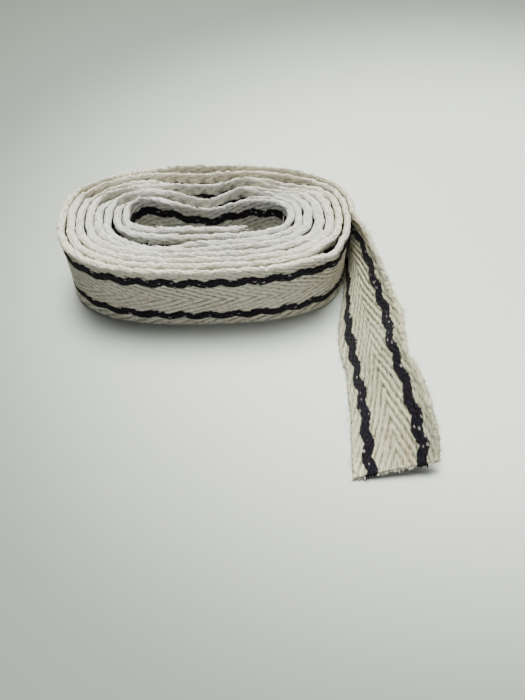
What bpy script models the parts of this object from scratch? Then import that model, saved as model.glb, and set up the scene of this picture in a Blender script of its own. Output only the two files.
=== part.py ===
"""A loosely wound roll of striped herringbone tape, lying on its edge with a loose end running off to the front."""

import math

import bmesh
import bpy
from mathutils import Matrix, Vector

# Driving sizes, in metres. Every length in the tables below is a multiple of the tape's width.
tape_width = 0.025
cloth_thickness = 0.0013
node_gap = 0.0003

# The nested ovals that the turns follow. "edge" is the turn count at which a row holds, 0 at the hole.
# Left and right are the oval's ends, front and back its sides, round is how square its corners are,
# and dent is how far the back is pressed in.
oval_columns = ("edge", "left", "right", "front", "back", "round", "dent")
oval_rows = (
    (0.0, -0.90, 0.86, -0.20, 0.235, 2.9, 0.180),
    (3.0, -1.22, 1.16, -0.47, 0.460, 2.7, 0.120),
    (6.0, -1.55, 1.53, -0.74, 0.685, 2.7, 0.055),
    (9.0, -1.88, 1.785, -1.02, 0.910, 2.7, 0.010),
)
dent_middle = -0.07
dent_reach_left = 0.36
dent_reach_right = 0.50

# The winding: it starts at the inner end, at this angle from the right, and runs clockwise seen from above.
inner_end_angle = math.radians(-63)
turn_count = 7.83
stations_per_turn = 84
oval_turned = math.radians(1.5)

# Ridge and groove on the upper side, as shares of one turn's room and as depths in widths.
ridge_from = 0.20
ridge_to = 0.80
groove_depth = 0.055
open_groove_depth = 0.15
rim_rounding = 0.018
rim_waviness = 0.010
rim_waves_per_turn = 9

# Places where two turns stand apart: the turn, the angle seen from above, and how far the gap reaches.
gap_columns = ("turn", "angle", "reach")
gap_rows = (
    (1.0, 97, 14),
    (1.4, 128, 12),
    (2.1, 205, 30),
    (3.0, 92, 20),
    (3.6, -35, 14),
    (5.1, 100, 16),
    (5.4, 140, 10),
    (7.5, -32, 16),
)

# The loose end, a row for each stretch: along is the share of its length, heading the way it runs
# seen from above, and lean how far it has fallen over from upright.
loose_columns = ("along", "heading", "lean")
loose_rows = (
    (0.0, -94, 1),
    (0.2, -102, 22),
    (0.4, -88, 36),
    (0.6, -86, 36),
    (0.8, -94, 52),
    (1.0, -83, 86),
)
loose_length = 3.03
loose_steps = 40
loose_width_steps = 6
end_slant = 0.11


def table(columns, rows):
    """A short table as a list of dictionaries."""
    return [dict(zip(columns, row)) for row in rows]


last_station = round(turn_count * stations_per_turn)
ovals = table(oval_columns, oval_rows)
gaps = table(gap_columns, gap_rows)
loose_path = table(loose_columns, loose_rows)


def smooth_between(rows, key, at, column):
    """A column's value at a place, on a smooth curve through the table's rows."""
    places = [row[key] for row in rows]
    values = [row[column] for row in rows]
    last = len(rows) - 1
    spot = 0
    while spot < last - 1 and at > places[spot + 1]:
        spot += 1
    step = places[spot + 1] - places[spot]
    share = (at - places[spot]) / step
    before = values[max(spot - 1, 0)]
    after = values[min(spot + 2, last)]
    rise_in = (values[spot + 1] - before) / (2 if spot else 1)
    rise_out = (after - values[spot]) / (2 if spot < last - 1 else 1)
    square = share * share
    cube = square * share
    return (
        (2 * cube - 3 * square + 1) * values[spot]
        + (cube - 2 * square + share) * rise_in
        + (3 * square - 2 * cube) * values[spot + 1]
        + (cube - square) * rise_out
    )


def oval_point(edge, angle):
    """The point of an oval seen from above, in widths from the roll's middle."""
    side = {name: smooth_between(ovals, "edge", edge, name) for name in oval_columns[1:]}
    across = math.cos(angle)
    away = math.sin(angle)
    corner = side["round"]
    norm = (abs(across) ** corner + abs(away) ** corner) ** (1 / corner)
    x = across / norm * (side["right"] if across > 0 else -side["left"])
    y = away / norm * (side["back"] if away > 0 else -side["front"])
    if away > 0:
        reach = dent_reach_left if x < dent_middle else dent_reach_right
        y -= side["dent"] * math.exp(-(((x - dent_middle) / reach) ** 2)) * min(1, away * 2)
    return Matrix.Rotation(oval_turned, 3, "Z") @ Vector((x, y, 0))


def station_angle(station):
    return inner_end_angle - 2 * math.pi * station / stations_per_turn


def groove_point(station):
    """The line between a turn and the next one, counted in stations from the inner end."""
    return oval_point(station / stations_per_turn, station_angle(station))


def openness(station):
    """How far the gap outside a turn stands open, from 0 to 1."""
    turn = station / stations_per_turn
    degrees = math.degrees(station_angle(station))
    most = 0.0
    for gap in gaps:
        apart = (degrees - gap["angle"] + 180) % 360 - 180
        if abs(turn - gap["turn"]) < 0.5:
            most = max(most, math.exp(-((apart / gap["reach"]) ** 2)))
    return most


def rim_height(station):
    wave = math.sin(2 * math.pi * rim_waves_per_turn * station / stations_per_turn)
    return 1.0 - rim_waviness * (0.5 + 0.5 * wave)


def new_material(name, colour, roughness):
    material = bpy.data.materials.new(name)
    material.use_nodes = True
    shader = material.node_tree.nodes["Principled BSDF"]
    shader.inputs["Base Color"].default_value = (*colour, 1.0)
    shader.inputs["Roughness"].default_value = roughness
    shader.inputs["Metallic"].default_value = 0.0
    return material


def new_object(name, mesh_builder, material):
    mesh = bpy.data.meshes.new(name)
    bmesh.ops.recalc_face_normals(mesh_builder, faces=mesh_builder.faces)
    mesh_builder.to_mesh(mesh)
    mesh_builder.free()
    mesh.materials.append(material)
    mesh.shade_smooth()
    mesh.set_sharp_from_angle(angle=math.radians(40))
    made = bpy.data.objects.new(name, mesh)
    bpy.context.scene.collection.objects.link(made)
    return made


def wound_roll():
    """The wound form: a ring with a ridge for each turn on top and a flat underside."""
    builder = bmesh.new()
    last = last_station
    outer_last = last + stations_per_turn
    top_groove = []
    underside = []
    for station in range(outer_last + 1):
        spot = groove_point(station)
        inside = station < stations_per_turn
        outside = station > last
        if inside or outside:
            depth = rim_rounding
        else:
            depth = groove_depth + open_groove_depth * openness(station - stations_per_turn)
        top_groove.append(builder.verts.new((spot.x, spot.y, 1.0 - rim_waviness - depth)))
        underside.append(builder.verts.new((spot.x, spot.y, 0.0)))
    ridge_in = []
    ridge_out = []
    for station in range(last + 1):
        near = groove_point(station)
        far = groove_point(station + stations_per_turn)
        open_in = openness(station - stations_per_turn)
        open_out = openness(station)
        first = near.lerp(far, ridge_from + 0.12 * open_in)
        second = near.lerp(far, ridge_to - 0.12 * open_out)
        height = rim_height(station)
        ridge_in.append(builder.verts.new((first.x, first.y, height)))
        ridge_out.append(builder.verts.new((second.x, second.y, height)))
    for station in range(last):
        after = station + 1
        over = station + stations_per_turn
        strips = (
            (top_groove[station], top_groove[after], ridge_in[after], ridge_in[station]),
            (ridge_in[station], ridge_in[after], ridge_out[after], ridge_out[station]),
            (ridge_out[station], ridge_out[after], top_groove[over + 1], top_groove[over]),
            (underside[station], underside[over], underside[over + 1], underside[after]),
        )
        for strip in strips:
            builder.faces.new(strip)
    for first_station in (0, last):
        for station in range(first_station, first_station + stations_per_turn):
            after = station + 1
            wall = (top_groove[station], underside[station], underside[after], top_groove[after])
            builder.faces.new(wall)
    for station in (0, last):
        over = station + stations_per_turn
        end = (
            top_groove[station],
            ridge_in[station],
            ridge_out[station],
            top_groove[over],
            underside[over],
            underside[station],
        )
        builder.faces.new(end)
    bmesh.ops.scale(builder, vec=(tape_width,) * 3, verts=builder.verts)
    cotton = new_material("wound_cotton", (0.62, 0.61, 0.55), 0.92)
    return new_object("wound_roll", builder, cotton)


def loose_frames():
    """Where the loose end's lower edge runs, with its side direction and its lean, in widths."""
    frames = []
    spot = groove_point(last_station + stations_per_turn)
    spot -= Vector((cloth_thickness / 2, node_gap, 0)) / tape_width
    for step in range(loose_steps + 1):
        along = step / loose_steps
        heading = math.radians(smooth_between(loose_path, "along", along, "heading"))
        lean = math.radians(smooth_between(loose_path, "along", along, "lean"))
        side = Vector((-math.sin(heading), math.cos(heading), 0.0))
        frames.append((spot.copy(), side, lean))
        ahead = Vector((math.cos(heading), math.sin(heading), 0.0))
        spot += ahead * loose_length / loose_steps
    return frames


def loose_end():
    """The free stretch: upright where it leaves the roll and almost flat at its cut end."""
    builder = bmesh.new()
    half = cloth_thickness / tape_width / 2
    grids = []
    for face_side in (-1, 1):
        grid = []
        for number, (spot, side, lean) in enumerate(loose_frames()):
            up = side * math.sin(lean) + Vector((0, 0, math.cos(lean)))
            out = side * math.cos(lean) - Vector((0, 0, math.sin(lean)))
            ahead = Vector((side.y, -side.x, 0.0))
            slant = end_slant * (number / loose_steps) ** 4
            row = []
            for column in range(loose_width_steps + 1):
                across = column / loose_width_steps
                place = spot + up * across + out * half * face_side - ahead * slant * across
                place.z += half * math.sin(lean)
                row.append(builder.verts.new(place))
            grid.append(row)
        grids.append(grid)
    inner, outer = grids
    for grid in grids:
        for row, after in zip(grid, grid[1:]):
            for column in range(loose_width_steps):
                builder.faces.new((row[column], row[column + 1], after[column + 1], after[column]))
    for column in (0, loose_width_steps):
        for number in range(loose_steps):
            edge = (inner[number][column], outer[number][column])
            edge_after = (outer[number + 1][column], inner[number + 1][column])
            builder.faces.new(edge + edge_after)
    for row_in, row_out in ((inner[0], outer[0]), (inner[-1], outer[-1])):
        for column in range(loose_width_steps):
            near = (row_in[column], row_in[column + 1])
            far = (row_out[column + 1], row_out[column])
            builder.faces.new(near + far)
    bmesh.ops.scale(builder, vec=(tape_width,) * 3, verts=builder.verts)
    cotton = new_material("loose_cotton", (0.64, 0.62, 0.56), 0.92)
    return new_object("loose_end", builder, cotton)


def centre_on_floor(pieces):
    """Moves the meshes so that the middle of the whole thing's foot is the origin."""
    points = [vertex.co for piece in pieces for vertex in piece.data.vertices]
    low = Vector([min(point[axis] for point in points) for axis in range(3)])
    high = Vector([max(point[axis] for point in points) for axis in range(3)])
    middle = (low + high) / 2
    for piece in pieces:
        for vertex in piece.data.vertices:
            vertex.co -= Vector((middle.x, middle.y, low.z))


for old in list(bpy.data.objects):
    bpy.data.objects.remove(old, do_unlink=True)

centre_on_floor([wound_roll(), loose_end()])
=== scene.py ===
import math

import bpy
import numpy as np
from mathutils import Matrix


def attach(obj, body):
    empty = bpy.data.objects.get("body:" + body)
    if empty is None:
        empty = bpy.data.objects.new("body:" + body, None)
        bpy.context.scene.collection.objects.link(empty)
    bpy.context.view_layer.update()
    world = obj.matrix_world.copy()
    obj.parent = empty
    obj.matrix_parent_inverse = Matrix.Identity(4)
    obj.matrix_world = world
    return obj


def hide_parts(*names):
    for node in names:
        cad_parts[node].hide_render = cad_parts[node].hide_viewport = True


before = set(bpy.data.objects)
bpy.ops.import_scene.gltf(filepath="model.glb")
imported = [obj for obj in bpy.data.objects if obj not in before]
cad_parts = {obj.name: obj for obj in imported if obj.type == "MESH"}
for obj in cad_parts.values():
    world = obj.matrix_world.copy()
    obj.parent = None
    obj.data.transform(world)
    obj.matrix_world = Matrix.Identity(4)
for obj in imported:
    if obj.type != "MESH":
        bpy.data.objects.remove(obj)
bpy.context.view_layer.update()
bpy.ops.object.select_all(action="DESELECT")
print("frame loaded")


def toLinear(hexColour):
    # sRGB hex to the linear colour that the shaders take
    parts = [int(hexColour[i:i + 2], 16) / 255 for i in (1, 3, 5)]
    return tuple(p / 12.92 if p <= 0.04045 else ((p + 0.055) / 1.055) ** 2.4 for p in parts) + (1.0,)


def addNode(tree, kind, settings=None, inputs=None):
    # one node with its settings, and its sockets filled with values or links
    node = tree.nodes.new(kind)
    for name, value in (settings or {}).items():
        setattr(node, name, value)
    for name, value in (inputs or {}).items():
        if isinstance(value, bpy.types.NodeSocket):
            tree.links.new(value, node.inputs[name])
        else:
            node.inputs[name].default_value = value
    return node


def smoothStep(low, high, value):
    share = np.clip((value - low) / (high - low), 0, 1)
    return share * share * (3 - 2 * share)


# The tape as it was woven, in millimetres, and how it is wound, in tape widths.
tape = {
    "width": 25.0,
    "clothThickness": 1.1,
    "selvedgeFill": 1.01,     # how much of its room in the roll a turn's selvedge takes
    "frontSlack": 0.15,       # and how much less at the front
    "looseSelvedge": 1.7,
    "bunchedSelvedge": 1.15,
    "selvedgeReach": 3.0,
    "selvedgeRound": 1.6,
    "ribSpacing": 1.8,        # across the tape
    "ribAngle": 22.0,         # from the tape's length
    "ribDepth": 0.43,
    "marginRibDepth": 0.20,
    "stripeCentres": (5.1, 19.75),
    "stripeHalf": 1.62,
    "stripeNotch": 0.30,
    "stripeWave": 0.42,
    "stripePeriod": 8.0,
    "stripeRise": 0.16,
    # faint pink stains: from the cut, across, length and width in mm
    "pinkMarks": (
        (9.2, 11.3, 2.2, 1.1),
        (3.4, 16.0, 3.0, 1.0),
        (224.2, 11.6, 3.0, 0.6),
        (243.6, 9.9, 2.6, 0.5),
    ),
}
winding = {
    "edge": (0, 3, 6, 9),     # turns counted from the hole
    "left": (0.90, 1.22, 1.55, 1.88),
    "right": (0.86, 1.16, 1.53, 1.785),
    "front": (0.20, 0.47, 0.74, 1.02),
    "back": (0.235, 0.460, 0.685, 0.910),
    "round": (2.9, 2.7, 2.7, 2.7),
    "dent": (0.180, 0.120, 0.055, 0.010),
    "dentMiddle": -0.07,
    "dentReach": (0.36, 0.50),
    "turned": math.radians(1.5),
    "startAngle": -63.0,
    "turns": 7.83,
    "before": 0.03,           # turns that the line runs on past the inner end, for the yarn ends there
    "steps": 4000,
    "gapSpread": 0.030,       # how much less each further turn moves beside a gap
    "middle": (0.40173, -1.07691),   # what puts the whole thing's foot on the origin
}
# Places where two turns stand apart: the inner one's turn, the angle seen from above, how far round
# the gap reaches, and how wide it opens.
gapRows = (
    (0.30, -165, 22, 0.002),
    (1.16, -128, 30, 0.084),
    (1.30, 118, 10, 0.050),
    (2.56, 97, 6, 0.030),
    (4.20, 131, 7, 0.050),
    (4.62, 82, 11, 0.050),
    (4.70, 115, 10, 0.045),
    (5.20, 120, 8, 0.045),
    (5.55, 99, 5, 0.030),
    (6.56, 97, 6, 0.020),
    (6.61, 78, 10, 0.020),
    (0.90, -24, 8, 0.024),
    (1.80, 6, 9, 0.018),
    (2.86, -11, 8, 0.018),
    (2.91, -31, 8, 0.034),
    (3.87, -13, 7, 0.014),
    (3.97, -52, 8, 0.024),
    (4.80, 9, 8, 0.012),
    (5.92, -37, 6, 0.062),
    (5.93, -30, 13, 0.010),
    (3.40, -68, 9, 0.025),
    (5.95, -88, 12, 0.012),
    (2.20, -97, 8, 0.030),
    (3.20, -107, 6, 0.026),
)
# How the eight turns are pushed aside, from the hole outwards: over the dent, over the left and the
# right lobe, between the dent and the right lobe, at the front left and in front of the hole. Tight is
# how far their selvedges are squeezed thin there.
bunching = (
    {"angle": 94, "reach": 22, "tight": 1,
     "shift": (-0.040, -0.062, -0.036, -0.052, -0.020, -0.028, -0.002, 0.060)},
    {"angle": 138, "reach": 15, "tight": 1,
     "shift": (0.080, 0.062, 0.050, 0.036, 0.026, 0.016, 0.008, 0.000)},
    {"angle": 58, "reach": 19, "tight": 1,
     "shift": (-0.020, -0.050, -0.066, -0.090, -0.114, -0.116, -0.030, 0.012)},
    {"angle": 72, "reach": 12, "tight": 1,
     "shift": (0, 0.020, 0.100, 0.120, 0.140, 0.115, 0.040, 0)},
    {"angle": -125, "reach": 27, "tight": 0,
     "shift": (0, 0.045, 0.036, 0.024, 0.012, 0.004, 0, 0)},
    {"angle": -92, "reach": 32, "tight": 0,
     "shift": (-0.034, -0.006, 0.004, 0, 0, 0, 0, 0)},
)
# How far the eight turns have sunk, in the same order: at the dent, over the left lobe and at both
# front corners.
sunkTurns = (
    {"angle": 91, "reach": 24, "tight": 1, "depth": (0, 0.125, 0, 0.125, 0, 0.110, 0, 0)},
    {"angle": 87, "reach": 11, "tight": 1, "depth": (0.020, 0, 0.040, 0.160, 0, 0, 0, 0)},
    {"angle": 139, "reach": 14, "tight": 1, "depth": (0, 0.070, 0, 0.070, 0, 0.050, 0, 0)},
    {"angle": -118, "reach": 15, "tight": 0, "depth": (0, 0, 0.036, 0.018, 0, 0, 0, 0)},
    {"angle": -38, "reach": 8, "tight": 0, "depth": (0, 0, 0, 0, 0, 0, 0.034, 0)},
)
freeEnd = {
    "along": (0.0, 0.2, 0.4, 0.6, 0.8, 1.0),
    "heading": (-94, -102, -88, -86, -94, -91),
    "lean": (1, 22, 36, 36, 52, 83),
    "length": 3.00,
    "slant": 0.15,
    "lift": 0.7,              # mm, of the cut edge off the table
    "narrowed": 0.04,         # how much the cut end is drawn in
    # where each edge waves out or in and how far round that place, both as shares of the length, and
    # how many mm
    "footWaves": ((0.20, 0.09, -1.3), (0.42, 0.09, 0.9), (0.56, 0.035, -0.9), (0.66, 0.07, 0.4)),
    "rimWaves": (
        (0.12, 0.06, -0.8),
        (0.36, 0.08, -0.8),
        (0.50, 0.05, 0.5),
        (0.64, 0.05, -1.1),
        (0.80, 0.10, 0.2),
        (1.0, 0.05, -0.8),
    ),
    "gap": 0.012,
    "thickness": 0.052,
    "stepsToCut": 399,
    "runsOnTo": 1.06,         # a little past the cut, for the yarn ends that stick out there
    "steps": 424,
}


def onCurve(places, values, at):
    # a smooth curve through a short table, with even steps between its places
    values = np.array(values, float)
    step = places[1] - places[0]
    slopes = np.gradient(values)
    spot = np.clip(((at - places[0]) / step).astype(int), 0, len(places) - 2)
    share = (at - places[0]) / step - spot
    square, cube = share ** 2, share ** 3
    return ((2 * cube - 3 * square + 1) * values[spot] + (cube - 2 * square + share) * slopes[spot]
            + (3 * square - 2 * cube) * values[spot + 1] + (cube - square) * slopes[spot + 1])


def ovalPoint(edge, angle):
    side = {name: onCurve(winding["edge"], winding[name], edge)
            for name in ("left", "right", "front", "back", "round", "dent")}
    across, away = np.cos(angle), np.sin(angle)
    norm = (np.abs(across) ** side["round"] + np.abs(away) ** side["round"]) ** (1 / side["round"])
    x = across / norm * np.where(across > 0, side["right"], side["left"])
    y = away / norm * np.where(away > 0, side["back"], side["front"])
    reach = np.where(x < winding["dentMiddle"], *winding["dentReach"])
    dent = side["dent"] * np.exp(-((x - winding["dentMiddle"]) / reach) ** 2)
    y = y - np.where(away > 0, dent * np.minimum(1, away * 2), 0)
    cos, sin = math.cos(winding["turned"]), math.sin(winding["turned"])
    return np.stack((x * cos - y * sin, x * sin + y * cos), -1)


def tapePath():
    # The line of the tape's lower edge from its inner end to its cut end: the foot, the lean,
    # how far each turn is sunk, and how far it is pushed aside at the top, against the length in mm.
    turn = np.linspace(-winding["before"], winding["turns"], winding["steps"])
    degrees = winding["startAngle"] - 360 * turn
    inward = ovalPoint(turn, np.radians(degrees))
    outward = ovalPoint(turn + 1, np.radians(degrees))
    room = np.linalg.norm(outward - inward, axis=1) * tape["width"]
    # the last turn swings out to the free end, and the one inside it follows a little
    share = 0.5 + 0.23 * smoothStep(winding["turns"] - 0.2, winding["turns"], turn)
    share += 0.13 * np.exp(-((turn - winding["turns"] + 1) / 0.12) ** 2)
    foot = inward + (outward - inward) * share[:, None]
    push = np.zeros(len(turn))
    for inner, angle, reach, opening in gapRows:
        apart = (degrees - angle + 180) % 360 - 180
        steps = np.round(turn + apart / 360 - inner)
        moved = np.where(steps <= 0, -np.maximum(0, opening / 2 + steps * winding["gapSpread"]),
                         np.maximum(0, opening / 2 - (steps - 1) * winding["gapSpread"]))
        push += moved * np.exp(-(apart / reach) ** 2)
    sunk = np.zeros(len(turn))
    bunched = np.zeros(len(turn))
    for row, column, target, power in ([(row, "shift", push, 2) for row in bunching]
                                       + [(row, "depth", sunk, 4) for row in sunkTurns]):
        apart = (degrees - row["angle"] + 180) % 360 - 180
        first = ((winding["startAngle"] - row["angle"]) / 360) % 1
        passNumber = np.clip(np.round(turn + apart / 360 - first), 0, 7).astype(int)
        near = np.exp(-np.abs(apart / row["reach"]) ** power)
        target += np.array(row[column])[passNumber] * near
        bunched = np.maximum(bunched, near * row["tight"])
    along = np.linspace(0, freeEnd["runsOnTo"], freeEnd["steps"])
    heading = np.radians(onCurve(freeEnd["along"], freeEnd["heading"], np.minimum(along, 1)))
    lean = np.radians(onCurve(freeEnd["along"], freeEnd["lean"], np.minimum(along, 1)))
    ahead = np.stack((np.cos(heading), np.sin(heading)), -1) * freeEnd["length"] / freeEnd["stepsToCut"]
    start = ovalPoint(np.array([winding["turns"] + 1]), np.radians(degrees[-1:]))[0]
    start = start - (freeEnd["thickness"] / 2, freeEnd["gap"])
    loose = start + np.concatenate(([[0, 0]], np.cumsum(ahead, axis=0)[:-1]))
    foot = np.concatenate((foot, loose))
    length = np.concatenate(([0], np.cumsum(np.linalg.norm(np.diff(foot, axis=0), axis=1)))) * tape["width"]
    length -= np.interp(0, turn, length[:len(turn)])
    fill = tape["selvedgeFill"] - tape["frontSlack"] * np.maximum(0, -np.sin(np.radians(degrees))) ** 2
    selvedge = tape["bunchedSelvedge"] + (fill * room - tape["bunchedSelvedge"]) * (1 - bunched)
    looseSelvedge = tape["looseSelvedge"]
    looseSelvedge = looseSelvedge + (selvedge[-1] - looseSelvedge) * smoothStep(0.12, 0, along)
    grown = np.concatenate((np.zeros(len(turn)), along))
    lean = np.concatenate((np.zeros(len(turn)), lean))
    fade = np.zeros(len(along))
    return {
        "length": length,
        "foot": (foot - winding["middle"]) * tape["width"],
        "lean": lean,
        "grown": grown,
        "push": np.concatenate((push, fade)) * tape["width"],
        "sunk": np.concatenate((sunk, fade)) * tape["width"],
        "turn": np.concatenate((turn, np.full(len(along), winding["turns"]))),
        "selvedge": np.concatenate((selvedge, looseSelvedge)),
    }


path = tapePath()
woundSteps = winding["steps"]
woundLength = path["length"][woundSteps - 1]
wholeLength = float(np.interp(1.0, path["grown"][woundSteps:], path["length"][woundSteps:]))
print("tape length", round(woundLength, 1), "+", round(wholeLength - woundLength, 1), "mm")


def lengthAtTurn(turn):
    return float(np.interp(turn, path["turn"][:woundSteps], path["length"][:woundSteps]))


def stripes(along, across):
    # For each point: how far it is inside a black stripe, its distance from the stripe's middle line,
    # and whether it is the lower stripe.
    lower = across < tape["width"] / 2
    phase = along / tape["stripePeriod"] + 0.5 * lower
    centre = np.where(lower, *tape["stripeCentres"])
    middle = across - centre - tape["stripeWave"] * np.cos(2 * np.pi * (phase - 0.03))
    fromTopNotch = (phase - 0.04) % 1 - 0.5
    fromLowNotch = (phase + 0.48) % 1 - 0.5
    topEdge = tape["stripeHalf"] - tape["stripeNotch"] * np.exp(-(fromTopNotch / 0.10) ** 2)
    lowEdge = tape["stripeHalf"] - tape["stripeNotch"] * np.exp(-(fromLowNotch / 0.10) ** 2)
    return np.minimum(topEdge - middle, middle + lowEdge), middle, lower


def waver(along, periods, seed):
    # a slow uneven wave between about -1 and 1
    total = sum(np.sin(2 * np.pi * along / period + seed * (2.1 + i)) for i, period in enumerate(periods))
    return total / len(periods)


def weave(along, across):
    # the woven relief on either face, in mm: herringbone ribs, stripes that stand proud, flatter margins
    inside, middle, _ = stripes(along, across)
    fromMiddle = np.abs(across - tape["width"] / 2)
    slope = math.tan(math.radians(tape["ribAngle"]))
    uneven = 0.15 * waver(along + across * 0.7, (6.1, 3.3, 13.0), 5.0)
    uneven += 0.08 * waver(across * 3 - along, (4.1, 2.3), 6.0)
    phase = (fromMiddle - along * slope) / tape["ribSpacing"] + uneven
    groove = 0.70 + 0.45 * waver(along * 1.3 + across * 2.0, (3.7, 5.9, 2.3), 11.0)
    ribs = 1 - groove * np.exp(-(((phase + 0.5) % 1 - 0.5) / 0.25) ** 2)
    margin = smoothStep(7.6, 9.0, fromMiddle)
    depth = tape["ribDepth"] + (tape["marginRibDepth"] - tape["ribDepth"]) * margin
    black = smoothStep(-0.25, 0.45, inside)
    beads = 0.5 + 0.5 * np.cos(2 * np.pi * (along / (tape["stripePeriod"] / 4) - middle * 0.45))
    return ribs, depth * (ribs - 0.6) * (1 - 0.6 * black) + black * (tape["stripeRise"] + 0.10 * beads)


def wind(along, across, through):
    # carries points of the flat tape to their place in the roll or the free end
    width = tape["width"]
    height = across / width
    rim = smoothStep(width - 3.5, width, across)
    foot = smoothStep(3.5, 0, across)
    out = through + rim * 0.30 * waver(along, (7.3, 3.9, 17.0), 1.0)
    out = out + foot * 0.10 * waver(along, (9.1, 4.3), 2.0)
    up = across + rim * (0.34 * waver(along, (7.4, 4.4, 2.7, 23.0), 3.0) - 0.12)
    up = up + foot * (0.12 + 0.08 * waver(along, (4.7, 8.3), 4.0))
    x = np.interp(along, path["length"], path["foot"][:, 0])
    y = np.interp(along, path["length"], path["foot"][:, 1])
    # the way ahead is read over a short stretch, which never shrinks to nothing past either end
    reach = 0.6
    behind = np.clip(along - reach, 0, wholeLength - reach)
    before = np.clip(along + reach, reach, wholeLength)
    dx, dy = (np.interp(before, path["length"], path["foot"][:, i])
              - np.interp(behind, path["length"], path["foot"][:, i]) for i in (0, 1))
    stretch = np.hypot(dx, dy)
    aheadX, aheadY = dx / stretch, dy / stretch
    sideX, sideY = -aheadY, aheadX
    lean = np.interp(along, path["length"], path["lean"])
    grown = np.interp(along, path["length"], path["grown"])
    up = up * (1 - freeEnd["narrowed"] * smoothStep(0.6, 1.0, grown))
    for waves, part, outward in ((freeEnd["footWaves"], smoothStep(7, 0, across), -1),
                                 (freeEnd["rimWaves"], smoothStep(width - 6, width, across), 1)):
        for share, reachShare, most in waves:
            up = up + outward * part * most * np.exp(-((grown - share) / reachShare) ** 2) * (grown > 0)
    lift = freeEnd["lift"] * smoothStep(0.72, 1.0, grown) * smoothStep(1, 11, across)
    out = out + np.interp(along, path["length"], path["push"]) * (0.35 + 0.65 * height)
    up = up * (1 - np.interp(along, path["length"], path["sunk"]) / width)
    back = freeEnd["slant"] * grown ** 4 * across
    half = freeEnd["thickness"] * width / 2
    x = x + sideX * (up * np.sin(lean) + out * np.cos(lean)) - aheadX * back
    y = y + sideY * (up * np.sin(lean) + out * np.cos(lean)) - aheadY * back
    z = up * np.cos(lean) - out * np.sin(lean) + half * np.sin(lean) + lift
    return np.stack((x, y, z), -1) * 0.001


def tapePiece(name, start, end, alongStep, acrossStep):
    # a flat strip with both faces, woven, then wound: start and end are lengths along the tape in mm
    edgeColumns = np.array((0, 0.10, 0.32, 0.62, 1.0, 1.45, 2.0))
    inner = int(round((tape["width"] - 2 * edgeColumns[-1]) / acrossStep))
    middleColumns = np.linspace(edgeColumns[-1], tape["width"] - edgeColumns[-1], inner + 1)
    columns = np.concatenate((edgeColumns[:-1], middleColumns, tape["width"] - edgeColumns[-2::-1]))
    rows = int(round((end - start) / alongStep))
    bpy.ops.mesh.primitive_grid_add(x_subdivisions=rows, y_subdivisions=len(columns) - 1, size=1)
    piece = bpy.context.object
    piece.name = piece.data.name = name
    faces = piece.modifiers.new("two faces", "SOLIDIFY")
    faces.thickness = 0.2
    faces.offset = 0
    bpy.ops.object.modifier_apply(modifier=faces.name)
    mesh = piece.data
    flat = np.empty(len(mesh.vertices) * 3)
    mesh.vertices.foreach_get("co", flat)
    flat = flat.reshape(-1, 3)
    along = start + (flat[:, 0] + 0.5) * (end - start)
    across = columns[np.rint((flat[:, 1] + 0.5) * (len(columns) - 1)).astype(int)]
    side = -np.sign(flat[:, 2])
    flatAcross = across
    fromEdge = np.minimum(across, tape["width"] - across)
    selvedge = np.interp(along, path["length"], path["selvedge"])
    selvedge = selvedge * (1 + 0.10 * waver(along, (57.0, 31.0, 13.0), 9.0))
    thick = tape["clothThickness"] + (selvedge - tape["clothThickness"]) * smoothStep(
        tape["selvedgeReach"], 0.7, fromEdge)
    curve = np.clip(fromEdge / tape["selvedgeRound"], 0, 1)
    rounded = np.clip(1 - (1 - curve) ** 2, 0.02, 1) ** 0.5
    # the inner end's tip is squashed thin
    rounded = rounded * (0.35 + 0.65 * smoothStep(0, 2.5, along))
    level = side * thick / 2 * rounded
    ribs, relief = weave(along, across)
    # on the selvedge the weft turns back in small loops, one behind the other
    edging = smoothStep(2.0, 0.5, fromEdge)
    loops = np.sin(2 * np.pi * along / 1.9 + side * 1.2 + 1.5 * waver(along, (8.3, 5.1), 7.0))
    lumps = waver(along + side * 2.0, (3.1, 1.7, 5.3), 8.0)
    relief = relief * smoothStep(0.3, 1.6, fromEdge)
    through = level + side * (relief + edging * (0.08 * loops + 0.10 * lumps))
    across = across + np.sign(across - tape["width"] / 2) * edging * (0.07 * loops + 0.08 * lumps - 0.10)
    place = wind(along, across, through)
    mesh.vertices.foreach_set("co", place.ravel())
    inside, _, lower = stripes(along, flatAcross)
    # painted shade: where a face is covered by the next turn, the cloth from about 4 to 7 mm below the rim
    # down is painted bluish grey, standing in for the shade in the gaps between turns
    turn = np.interp(along, path["length"], path["turn"] + 3 * path["grown"])
    covered = np.where(side > 0, smoothStep(winding["turns"] - 0.97, winding["turns"] - 1.03, turn),
                       smoothStep(0.97, 1.03, turn)
                       * smoothStep(winding["turns"] + 0.05, winding["turns"], turn))
    paintedGapShade = covered * smoothStep(tape["width"] - 3.8, tape["width"] - 7.0, flatAcross)
    marks = sum(np.exp(-((along - wholeLength + back) / long) ** 2 - ((flatAcross - middleOf) / wide) ** 2)
                for back, middleOf, long, wide in tape["pinkMarks"])
    nothing = flatAcross * 0
    layers = {
        "flatPlace": (along, flatAcross, level),
        "stripePlace": (inside, lower, nothing),
        "markPlace": (marks, nothing, nothing),
        "ribSelvedgePaintedShade": (ribs, smoothStep(1.6, 0.4, fromEdge), paintedGapShade),
    }
    for title, values in layers.items():
        layer = mesh.attributes.new(title, "FLOAT_VECTOR", "POINT")
        layer.data.foreach_set("vector", np.stack(values, -1).astype(float).ravel())
    bpy.ops.object.shade_smooth_by_angle(angle=math.radians(70))
    piece.select_set(False)
    mesh.update()
    return piece


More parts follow.
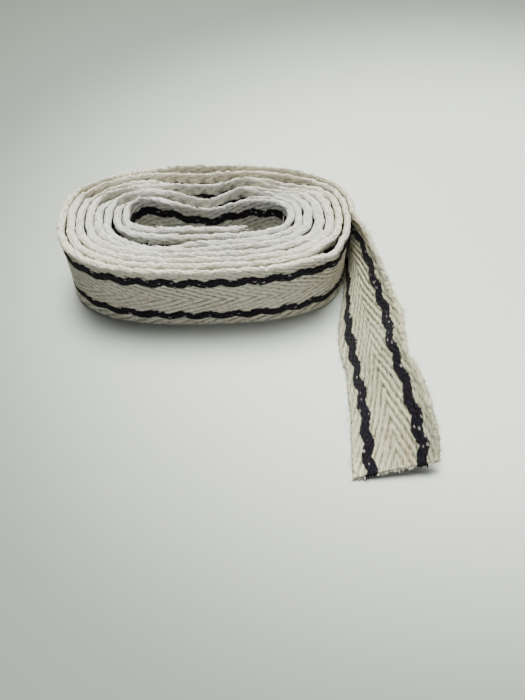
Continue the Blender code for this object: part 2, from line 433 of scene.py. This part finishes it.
def herringboneCotton():
    # Soft undyed cotton tape, woven herringbone: dull and fuzzy, with painted shade in the hollows of the
    # weave, between the strands of the selvedge and between the turns, and black cotton stripes that swallow
    # the light and show white crossing yarns.
    material = bpy.data.materials.new("herringboneCotton")
    material.use_nodes = True
    tree = material.node_tree
    shader = tree.nodes["Principled BSDF"]
    flat = addNode(tree, "ShaderNodeAttribute", {"attribute_name": "flatPlace"})
    stripe = addNode(tree, "ShaderNodeAttribute", {"attribute_name": "stripePlace"})
    place = addNode(tree, "ShaderNodeSeparateXYZ", inputs={0: flat.outputs["Vector"]})
    band = addNode(tree, "ShaderNodeSeparateXYZ", inputs={0: stripe.outputs["Vector"]})
    ribbing = addNode(tree, "ShaderNodeAttribute", {"attribute_name": "ribSelvedgePaintedShade"})
    ridge = addNode(tree, "ShaderNodeSeparateXYZ", inputs={0: ribbing.outputs["Vector"]})
    noises = {}
    for title, scale, detail in (("noise", 1.6, 3.0), ("slow", 0.11, 2.0), ("bites", 0.95, 1.0),
                                 ("spin", 5.0, 2.0), ("tuft", 0.85, 4.0)):
        noises[title] = addNode(tree, "ShaderNodeTexNoise", inputs={
            0: flat.outputs["Vector"], "Scale": scale, "Detail": detail}).outputs["Fac"]
    ovals = addNode(tree, "ShaderNodeMapping", inputs={0: flat.outputs["Vector"], "Scale": (0.42, 0.68, 0.0)})
    cells = addNode(tree, "ShaderNodeTexVoronoi", inputs={
        0: ovals.outputs[0], "Scale": 1.0, "Randomness": 0.85})
    cellPart = addNode(tree, "ShaderNodeSeparateColor", inputs={0: cells.outputs["Color"]})
    values = {
        "cellFar": cells.outputs["Distance"], "cellChance": cellPart.outputs[0],
        "along": place.outputs["X"], "across": place.outputs["Y"], "level": place.outputs["Z"],
        "inside": band.outputs["X"], "isLower": band.outputs["Y"],
        "rib": ridge.outputs["X"], "selvedge": ridge.outputs["Y"],
        **noises,
    }
    # One warp yarn's width, its repeat and its step in mm, drawn coarser than the real yarns, which would
    # be too fine to show.
    yarn = {"width": 0.82, "float": 4.95, "stagger": 2.03}
    steps = (
        # warp yarns side by side, each one's long stitch a step further on than its neighbour's
        ("fromMiddle", "SUBTRACT", "across", tape["width"] / 2),
        ("folded", "ABSOLUTE", "fromMiddle", 0),
        ("yarnPlace", "DIVIDE", "folded", yarn["width"]),
        ("yarnNumber", "FLOOR", "yarnPlace", 0),
        ("yarnShare", "FRACT", "yarnPlace", 0),
        ("yarnOff", "SUBTRACT", "yarnShare", 0.5),
        ("yarnSquare", "MULTIPLY", "yarnOff", "yarnOff"),
        ("yarnDrop", "MULTIPLY", "yarnSquare", 3.2),
        ("yarnRound", "SUBTRACT", 1.0, "yarnDrop"),
        ("yarnStep", "MULTIPLY", "yarnNumber", yarn["stagger"]),
        ("wobble", "MULTIPLY", "noise", 1.6),
        ("alongWobbled", "ADD", "along", "wobble"),
        ("stitchPlace", "SUBTRACT", "alongWobbled", "yarnStep"),
        ("stitchRepeat", "DIVIDE", "stitchPlace", yarn["float"]),
        ("stitchShare", "FRACT", "stitchRepeat", 0),
        ("stitchTurn", "MULTIPLY", "stitchShare", math.pi),
        ("stitchBump", "SINE", "stitchTurn", 0),
        ("stitchFull", "POWER", "stitchBump", 0.6),
        ("stitchHeight", "MULTIPLY", "stitchFull", "yarnRound"),
        # how deep in the weave a point lies: the ribs' grooves and the stitches' ends, not on the selvedge
        ("ribPart", "MULTIPLY", "rib", 0.72),
        ("weaveLevel", "MULTIPLY_ADD", "stitchHeight", 0.28, "ribPart"),
        # on the selvedge, long yarns lie side by side and wind slowly round one another
        ("ropeAlong", "MULTIPLY_ADD", "along", 0.13, "level"),
        ("ropeWander", "MULTIPLY_ADD", "bites", 1.9, "ropeAlong"),
        ("ropePlace", "MULTIPLY_ADD", "noise", 0.5, "ropeWander"),
        ("ropeShare", "FRACT", "ropePlace", 0),
        ("ropeOff", "SUBTRACT", "ropeShare", 0.5),
        ("ropeSquare", "MULTIPLY", "ropeOff", "ropeOff"),
        ("ropeHeight", "MULTIPLY_ADD", "ropeSquare", -3.6, 1.0),
        ("ropeLit", "MULTIPLY_ADD", "ropeHeight", 0.46, 0.54),
        ("towardRope", "SUBTRACT", "ropeLit", "weaveLevel"),
        ("raised", "MULTIPLY_ADD", "towardRope", "selvedge", "weaveLevel"),
        ("stitchLow", "MULTIPLY", "stitchHeight", 0.6),
        ("towardRopeBump", "SUBTRACT", "ropeHeight", "stitchLow"),
        ("yarnHeight", "MULTIPLY_ADD", "towardRopeBump", "selvedge", "stitchLow"),
        # black where the point lies inside a stripe, with an uneven edge
        ("edgeNoise", "SUBTRACT", "noise", 0.5),
        ("edgeShift", "MULTIPLY", "edgeNoise", 0.30),
        ("biteShift", "MULTIPLY_ADD", "bites", 1.1, -0.46),
        ("edgeMoved", "ADD", "edgeShift", "biteShift"),
        ("blackReach", "ADD", "inside", "edgeMoved"),
        # white crossing yarns that show here and there, more of them in the upper stripe
        ("speckChance", "MULTIPLY_ADD", "isLower", -0.22, "cellChance"),
        ("speckLack", "SUBTRACT", 0.20, "speckChance"),
        ("speckGone", "MAXIMUM", "speckLack", 0.0),
        ("speckFar", "MULTIPLY_ADD", "speckGone", 3.0, "cellFar"),
        ("speckReach", "MULTIPLY_ADD", "edgeNoise", 0.22, "speckFar"),
    )
    for name, operation, *terms in steps:
        links = {i: values.get(term, term) if isinstance(term, str) else term for i, term in enumerate(terms)}
        values[name] = addNode(tree, "ShaderNodeMath", {"operation": operation}, links).outputs[0]
    black = addNode(tree, "ShaderNodeMapRange", inputs={
        "Value": values["blackReach"], "From Min": -0.18, "From Max": 0.22})
    speck = addNode(tree, "ShaderNodeMapRange", inputs={
        "Value": values["speckReach"], "From Min": 0.29, "From Max": 0.15, "To Min": 0.0, "To Max": 0.42})
    # painted shade: the cotton runs from dark grey in the weave's grooves and between the selvedge's strands
    # to near white on the raised yarns
    paintedHollowShade = addNode(tree, "ShaderNodeMapRange", inputs={
        "Value": values["raised"], "From Min": 0.10, "From Max": 0.85, "To Min": 0.0, "To Max": 1.0})
    cotton = addNode(tree, "ShaderNodeMix", {"data_type": "RGBA"}, {
        "Factor": paintedHollowShade.outputs[0], 6: toLinear("#686660"), 7: toLinear("#eeede5")})
    cloudy = addNode(tree, "ShaderNodeMapRange", inputs={
        "Value": values["slow"], "From Min": 0.35, "From Max": 0.7, "To Min": 0.0, "To Max": 0.5})
    handled = addNode(tree, "ShaderNodeMapRange", inputs={
        "Value": values["along"], "From Min": 300.0, "From Max": 1150.0})
    yellowing = addNode(tree, "ShaderNodeMix", {"data_type": "RGBA"}, {
        "Factor": handled.outputs[0], 6: toLinear("#f3f4f8"), 7: toLinear("#fffcf4")})
    loosened = addNode(tree, "ShaderNodeMapRange", inputs={
        "Value": values["along"], "From Min": 1290.0, "From Max": 1325.0})
    sunned = addNode(tree, "ShaderNodeMix", {"data_type": "RGBA"}, {
        "Factor": loosened.outputs[0], 6: yellowing.outputs[2], 7: toLinear("#e0dfcb")})
    tinted = addNode(tree, "ShaderNodeMix", {"data_type": "RGBA", "blend_type": "MULTIPLY"}, {
        "Factor": 1.0, 6: cotton.outputs[2], 7: sunned.outputs[2]})
    mottle = addNode(tree, "ShaderNodeMapRange", inputs={
        "Value": values["tuft"], "From Min": 0.40, "From Max": 0.62, "To Min": 0.36, "To Max": 0.0})
    uneven = addNode(tree, "ShaderNodeMix", {"data_type": "RGBA", "blend_type": "MULTIPLY"}, {
        "Factor": mottle.outputs[0], 6: tinted.outputs[2], 7: toLinear("#bdb8ad")})
    aged = addNode(tree, "ShaderNodeMix", {"data_type": "RGBA", "blend_type": "MULTIPLY"}, {
        "Factor": cloudy.outputs[0], 6: uneven.outputs[2], 7: toLinear("#f3ecdc")})
    marks = addNode(tree, "ShaderNodeAttribute", {"attribute_name": "markPlace"})
    marked = addNode(tree, "ShaderNodeSeparateXYZ", inputs={0: marks.outputs["Vector"]})
    markNoise = addNode(tree, "ShaderNodeMath", {"operation": "MULTIPLY"}, {
        0: marked.outputs["X"], 1: values["noise"]})
    pinkish = addNode(tree, "ShaderNodeMix", {"data_type": "RGBA", "blend_type": "MULTIPLY"}, {
        "Factor": markNoise.outputs[0], 6: aged.outputs[2], 7: toLinear("#e2b8b0")})
    # painted shade: the covered faces between the turns are mixed towards bluish grey below the rim
    paintedGapShadeMix = addNode(tree, "ShaderNodeMix", {"data_type": "RGBA"}, {
        "Factor": ridge.outputs["Z"], 6: pinkish.outputs[2], 7: toLinear("#7c8090")})
    # painted sheen: lighter violet-grey patches, placed at random by noise, stand in for the black yarns'
    # sheen
    blackLit = addNode(tree, "ShaderNodeMapRange", inputs={
        "Value": values["noise"], "From Min": 0.42, "From Max": 0.72, "To Min": 0.0, "To Max": 1.0})
    blackShade = addNode(tree, "ShaderNodeMix", {"data_type": "RGBA"}, {
        "Factor": blackLit.outputs[0], 6: toLinear("#010003"), 7: toLinear("#241d2e")})
    blackYarn = addNode(tree, "ShaderNodeMix", {"data_type": "RGBA"}, {
        "Factor": speck.outputs[0], 6: blackShade.outputs[2], 7: toLinear("#c9c6c4")})
    colour = addNode(tree, "ShaderNodeMix", {"data_type": "RGBA"}, {
        "Factor": black.outputs[0], 6: paintedGapShadeMix.outputs[2], 7: blackYarn.outputs[2]})
    tree.links.new(colour.outputs[2], shader.inputs["Base Color"])
    fibre = addNode(tree, "ShaderNodeMath", {"operation": "MULTIPLY_ADD"}, {
        0: values["spin"], 1: 0.35, 2: values["yarnHeight"]})
    bump = addNode(tree, "ShaderNodeBump", inputs={
        "Height": fibre.outputs[0], "Distance": 0.00022, "Strength": 1.0})
    tree.links.new(bump.outputs[0], shader.inputs["Normal"])
    shader.inputs["Roughness"].default_value = 0.95
    shader.inputs["IOR"].default_value = 1.45
    shader.inputs["Specular IOR Level"].default_value = 0.2
    shader.inputs["Sheen Weight"].default_value = 0.04
    shader.inputs["Sheen Roughness"].default_value = 0.6
    return material


cottonTape = herringboneCotton()
print("cloth material ready")

# The wound turns. The innermost and the outermost show a whole face, so they are finer.
turnSplits = {"innerUpTo": 1.06, "outerFrom": 6.78}
innerEnd = lengthAtTurn(turnSplits["innerUpTo"])
outerStart = lengthAtTurn(turnSplits["outerFrom"])
innerTurn = tapePiece("inner_turn", 0.0, innerEnd, 0.42, 0.45)
middleTurns = tapePiece("middle_turns", innerEnd, outerStart, 0.62, 1.6)
outerTurn = tapePiece("outer_turn", outerStart, woundLength, 0.36, 0.36)
freeTape = tapePiece("free_tape", woundLength, wholeLength, 0.32, 0.28)
tapePieces = (
    (innerTurn, "wound_roll", "wound_cotton", innerEnd),
    (middleTurns, "wound_roll", "wound_cotton", outerStart - innerEnd),
    (outerTurn, "wound_roll", "wound_cotton", woundLength - outerStart),
    (freeTape, "loose_end", "loose_cotton", wholeLength - woundLength),
)


def strands(name, roots, ends, curl, thickness, sides, seed):
    # Short threads and fibres as thin tapering tubes. Roots and ends are places on the flat tape
    # (along, across, through) in mm, so that they go wherever the winding takes the cloth.
    chance = np.random.RandomState(seed)
    joints = 4                # points along each thread
    share = np.linspace(0, 1, joints)[None, :, None]
    sway = chance.normal(0, 1, (len(roots), 1, 3)) * curl[:, None, None]
    line = roots[:, None] + (ends - roots)[:, None] * share + sway * np.sin(np.pi * share)
    points = wind(*line.reshape(-1, 3).T).reshape(len(roots), joints, 3)
    half = thickness / 2000   # in metres
    # no thread dips into the table top
    points[..., 2] = np.maximum(points[..., 2], half[:, None])
    run = np.gradient(points, axis=1)
    run /= np.linalg.norm(run, axis=2, keepdims=True) + 1e-12
    helper = np.where(np.abs(run[..., 2:3]) > 0.8, (1.0, 0.0, 0.0), (0.0, 0.0, 1.0))
    first = np.cross(run, helper)
    first /= np.linalg.norm(first, axis=2, keepdims=True)
    second = np.cross(run, first)
    turn = np.arange(sides) * 2 * np.pi / sides
    taper = np.array((1.0, 0.95, 0.8, 0.35))
    radius = half[:, None, None, None] * taper[None, :, None, None]
    ring = radius * (first[:, :, None] * np.cos(turn)[:, None] + second[:, :, None] * np.sin(turn)[:, None])
    corners = (points[:, :, None] + ring).reshape(-1, 3)
    faces = []
    for strand in range(len(roots)):
        base = strand * joints * sides
        for joint in range(joints - 1):
            for side in range(sides):
                near, far = base + joint * sides, base + (joint + 1) * sides
                after = (side + 1) % sides
                faces.append((near + side, near + after, far + after, far + side))
        faces.append(tuple(base + side for side in reversed(range(sides))))
        faces.append(tuple(base + (joints - 1) * sides + side for side in range(sides)))
    mesh = bpy.data.meshes.new(name)
    mesh.from_pydata(corners.tolist(), [], faces)
    layer = mesh.attributes.new("flatPlace", "FLOAT_VECTOR", "POINT")
    layer.data.foreach_set("vector", np.repeat(line.reshape(-1, 3), sides, axis=0).ravel())
    mesh.update()
    piece = bpy.data.objects.new(name, mesh)
    bpy.context.scene.collection.objects.link(piece)
    bpy.context.view_layer.objects.active = piece
    piece.select_set(True)
    bpy.ops.object.mode_set(mode="EDIT")
    bpy.ops.mesh.select_all(action="SELECT")
    bpy.ops.mesh.normals_make_consistent(inside=False)
    bpy.ops.object.mode_set(mode="OBJECT")
    bpy.ops.object.shade_smooth()
    piece.select_set(False)
    return piece


def cottonYarn(name, dark, light):
    # Teased-out cotton: matt, paler and softer than the woven cloth.
    material = bpy.data.materials.new(name)
    material.use_nodes = True
    tree = material.node_tree
    shader = tree.nodes["Principled BSDF"]
    flat = addNode(tree, "ShaderNodeAttribute", {"attribute_name": "flatPlace"})
    patch = addNode(tree, "ShaderNodeTexNoise", inputs={
        0: flat.outputs["Vector"], "Scale": 2.2, "Detail": 2.0})
    tone = addNode(tree, "ShaderNodeMix", {"data_type": "RGBA"}, {
        "Factor": patch.outputs["Fac"], 6: toLinear(dark), 7: toLinear(light)})
    tree.links.new(tone.outputs[2], shader.inputs["Base Color"])
    shader.inputs["Roughness"].default_value = 0.95
    shader.inputs["Specular IOR Level"].default_value = 0.15
    return material


whiteYarn = cottonYarn("teasedWhiteCotton", "#cfc9b8", "#ebe8dc")
blackYarn = cottonYarn("teasedBlackCotton", "#050506", "#17141b")

# How many fibres stand off, and their longest and their thickness in mm, drawn thicker than real ones,
# which would be too fine to show.
fuzz = {"rimFibres": 1500, "freeFibres": 900, "faceFibres": 420, "freeFaceFibres": 160, "longest": 2.2,
        "thickness": 0.11}
dice = np.random.RandomState(11)


def fibresOnRims(count, start, end, lowRim):
    # single fibres that stand off the selvedges, most of them short
    along = dice.uniform(start, end, count)
    low = dice.uniform(0, 1, count) < lowRim
    through = dice.uniform(-0.6, 0.6, count)
    size = 0.4 + (fuzz["longest"] - 0.4) * dice.uniform(0, 1, count) ** 2.5
    across = np.where(low, 0.5, tape["width"] - 0.5)
    rise = (0.35 + 0.65 * dice.uniform(0, 1, count)) * np.where(low, -1, 1)
    roots = np.stack((along, across, through), -1)
    step = np.stack((dice.normal(0, 0.6, count), rise, dice.normal(0, 0.5, count)), -1)
    return roots, roots + step * (size + 0.5)[:, None], size * 0.14


def fibresOnFaces(count, start, end, side):
    along = dice.uniform(start, end, count)
    across = dice.uniform(1.0, tape["width"] - 1.0, count)
    roots = np.stack((along, across, np.full(count, side * 0.4)), -1)
    size = 0.3 + 0.9 * dice.uniform(0, 1, count) ** 2
    step = np.stack((dice.normal(0, 0.9, count), dice.normal(0, 0.9, count),
                     side * (0.5 + 0.3 * dice.uniform(0, 1, count))), -1)
    clear = np.min([np.abs(across - centre) for centre in tape["stripeCentres"]], axis=0) > 2.6
    return roots[clear], (roots + step * size[:, None])[clear], size[clear] * 0.15


def yarnEnds(across, at, reach, droop):
    # the cut ends of the long yarns, each sticking out by its own length and drooping
    count = len(across)
    roots = np.stack((np.full(count, at - 0.8), across, dice.uniform(-0.3, 0.3, count)), -1)
    ends = roots + np.stack((0.8 + reach * dice.uniform(0.25, 1, count), dice.normal(0, 0.25, count),
                             droop * dice.uniform(0.2, 1, count)), -1)
    return roots, ends, np.full(count, 0.12)


floorName = "studio_floor"
for piece, node, slotName, length in tapePieces:
    piece.data.materials.append(cottonTape)
    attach(piece, "root")
    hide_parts(node)
print("tape wound")

# Fuzz, and the frayed cut of the free end
rimSets = [fibresOnRims(fuzz["rimFibres"], 0, woundLength, 0.0),
           fibresOnFaces(fuzz["faceFibres"], outerStart, woundLength, 1)]
freeSets = [fibresOnRims(fuzz["freeFibres"], woundLength, wholeLength, 0.35),
            fibresOnFaces(fuzz["freeFaceFibres"], woundLength, wholeLength, -1)]
inStripe = np.concatenate([centre + np.linspace(-1.3, 1.3, 6) for centre in tape["stripeCentres"]])
allEnds = np.arange(0.7, tape["width"], 0.62)
offStripe = np.array([a for a in allEnds if min(abs(a - c) for c in tape["stripeCentres"]) > 1.7])
whiteEnds = yarnEnds(offStripe, wholeLength, 1.0, 0.5)
blackEnds = yarnEnds(inStripe, wholeLength, 1.3, 0.8)
innerTip = yarnEnds(np.linspace(17.0, 24.6, 12), 0.0, 1.3, 0.2)
# at the inner tip the yarns point the other way
innerTip = (innerTip[0] + (1.6, 0, 0), innerTip[1] * (-1, 1, 1), innerTip[2])


def together(sets):
    return [np.concatenate([one[i] for one in sets]) for i in range(3)]


threadRows = (
    ("roll_fuzz", together(rimSets), fuzz["thickness"], 3, whiteYarn, "wound_roll", "wound_cotton"),
    ("free_fuzz", together(freeSets), fuzz["thickness"], 3, whiteYarn, "loose_end", "loose_cotton"),
    ("cut_white_ends", whiteEnds, 0.50, 6, whiteYarn, "loose_end", "loose_cotton"),
    ("cut_black_ends", blackEnds, 0.50, 6, blackYarn, "loose_end", "loose_cotton"),
    ("inner_tip_ends", innerTip, 0.40, 6, whiteYarn, "wound_roll", "wound_cotton"),
)
for number, (name, lines, thickness, sides, material, node, slotName) in enumerate(threadRows):
    roots, ends, curl = lines
    piece = strands(name, roots, ends, curl, np.full(len(roots), thickness), sides, 20 + number)
    piece.data.materials.append(material)
    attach(piece, "root")
    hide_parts(node)
print("fuzz and yarn ends ready")


# The studio: a pale table top with a painted pool of light, soft light from above and behind, and the camera.
studio = {
    "floorSize": 3.0,
    "cameraPlace": (0.0062075, -0.1265775, 0.172975),
    "cameraDown": 54.97,
    "focal": 24.0,            # as long as the frame is high, which gives 700 px of focal length
    "frameHeight": 24.0,
    "skyStrength": 0.04,
}


def paleTable():
    # Matt white laminate: faintly cloudy, with a painted pool of light round the object: its colour turns
    # greyer away from it.
    material = bpy.data.materials.new("mattWhiteLaminate")
    material.use_nodes = True
    tree = material.node_tree
    shader = tree.nodes["Principled BSDF"]
    place = addNode(tree, "ShaderNodeTexCoord")
    cloud = addNode(tree, "ShaderNodeTexNoise", inputs={
        0: place.outputs["Object"], "Scale": 9.0, "Detail": 3.0})
    tone = addNode(tree, "ShaderNodeMix", {"data_type": "RGBA"}, {
        "Factor": cloud.outputs["Fac"], 6: toLinear("#ccd2ce"), 7: toLinear("#d4d9d5")})
    oval = addNode(tree, "ShaderNodeMapping", inputs={0: place.outputs["Object"], "Scale": (1.0, 1.3, 0.0)})
    fromMiddle = addNode(tree, "ShaderNodeVectorMath", {"operation": "DISTANCE"}, {
        0: oval.outputs[0], 1: (0.094, 0.050, 0.0)})
    paintedLightPool = addNode(tree, "ShaderNodeMapRange", {"interpolation_type": "SMOOTHSTEP"}, {
        "Value": fromMiddle.outputs["Value"], "From Min": 0.085, "From Max": 0.215,
        "To Min": 0.0, "To Max": 1.0})
    # painted pool of light: the table's colour is multiplied towards grey from about 85 to 215 mm from a spot
    # beside the object
    outward = addNode(tree, "ShaderNodeMix", {"data_type": "RGBA", "blend_type": "MULTIPLY"}, {
        "Factor": paintedLightPool.outputs[0], 6: tone.outputs[2], 7: toLinear("#9d9e9a")})
    tree.links.new(outward.outputs[2], shader.inputs["Base Color"])
    shader.inputs["Roughness"].default_value = 0.6
    return material


bpy.ops.mesh.primitive_plane_add(size=studio["floorSize"], location=(0, 0, 0))
floor = bpy.context.object
floor.name = floorName
floor.data.materials.append(paleTable())

world = bpy.data.worlds.new("softRoom")
bpy.context.scene.world = world
world.use_nodes = True
sky = world.node_tree.nodes["Background"]
sky.inputs["Color"].default_value = toLinear("#f4f6f7")
sky.inputs["Strength"].default_value = studio["skyStrength"]

lamps = (
    {"name": "overheadSoftbox", "place": (0.03, 0.20, 0.48), "aim": (0.03, 0.02),
     "size": 0.42, "power": 1.72, "spread": 44, "tint": "#fbfef4"},
    {"name": "frontFill", "place": (0.36, -0.44, 0.26), "aim": (0.0, 0.0),
     "size": 0.32, "power": 0.305, "spread": 120, "tint": "#faf6ff"},
)
for lamp in lamps:
    bpy.ops.object.light_add(type="AREA", location=lamp["place"])
    light = bpy.context.object
    light.name = lamp["name"]
    light.data.size = lamp["size"]
    light.data.energy = lamp["power"]
    light.data.color = toLinear(lamp["tint"])[:3]
    light.data.spread = math.radians(lamp["spread"])
    offX, offY = lamp["place"][0] - lamp["aim"][0], lamp["place"][1] - lamp["aim"][1]
    light.rotation_euler = (math.atan2(math.hypot(offX, offY), lamp["place"][2]), 0,
                            math.atan2(offY, offX) + math.pi / 2)

bpy.ops.object.camera_add(location=studio["cameraPlace"],
                          rotation=(math.radians(90 - studio["cameraDown"]), 0, 0))
camera = bpy.context.object
camera.data.sensor_fit = "VERTICAL"
camera.data.sensor_height = studio["frameHeight"]
camera.data.lens = studio["focal"]
camera.data.clip_start = 0.01
bpy.context.scene.camera = camera
print("studio ready")
